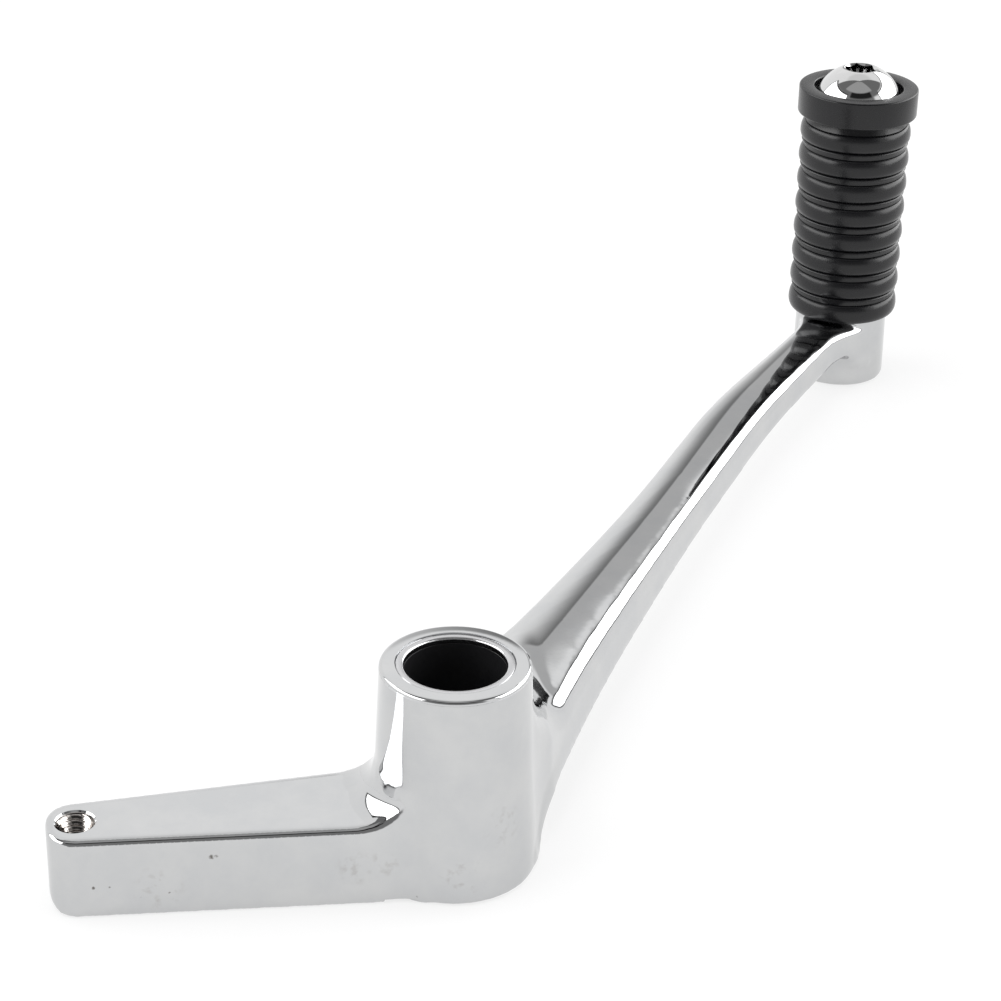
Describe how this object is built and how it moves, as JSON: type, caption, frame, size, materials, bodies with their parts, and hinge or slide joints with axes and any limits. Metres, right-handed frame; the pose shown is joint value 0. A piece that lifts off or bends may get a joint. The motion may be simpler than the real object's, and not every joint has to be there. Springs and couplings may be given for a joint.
{
  "type": "motorcycle gear shift lever",
  "caption": "Chromed shift lever with a bushed pivot hub, a short linkage arm and a long tapering arm that carries a ribbed rubber toe peg held by a button head bolt.",
  "frame": {"origin": "on the pivot bore's axis, in the plane of the hub's lower face", "axes": "+Z along the pivot bore towards the side that the toe peg stands on; +X from the pivot axis towards the toe peg's axis"},
  "size_m": [0.2651, 0.0682, 0.0701],
  "materials": {
    "lever": "bright plated casting with faint casting waves",
    "bush": "machined",
    "liner": "smooth black bearing liner",
    "sleeve": "plain",
    "rubber": "satin moulded",
    "bolt": "bright"
  },
  "bodies": {
    "root": {"lever": "lever", "pivot_bush": "bush", "bush_liner": "liner", "peg_sleeve": "sleeve", "peg_rubber": "rubber", "peg_bolt": "bolt"}
  },
  "joints": []
}
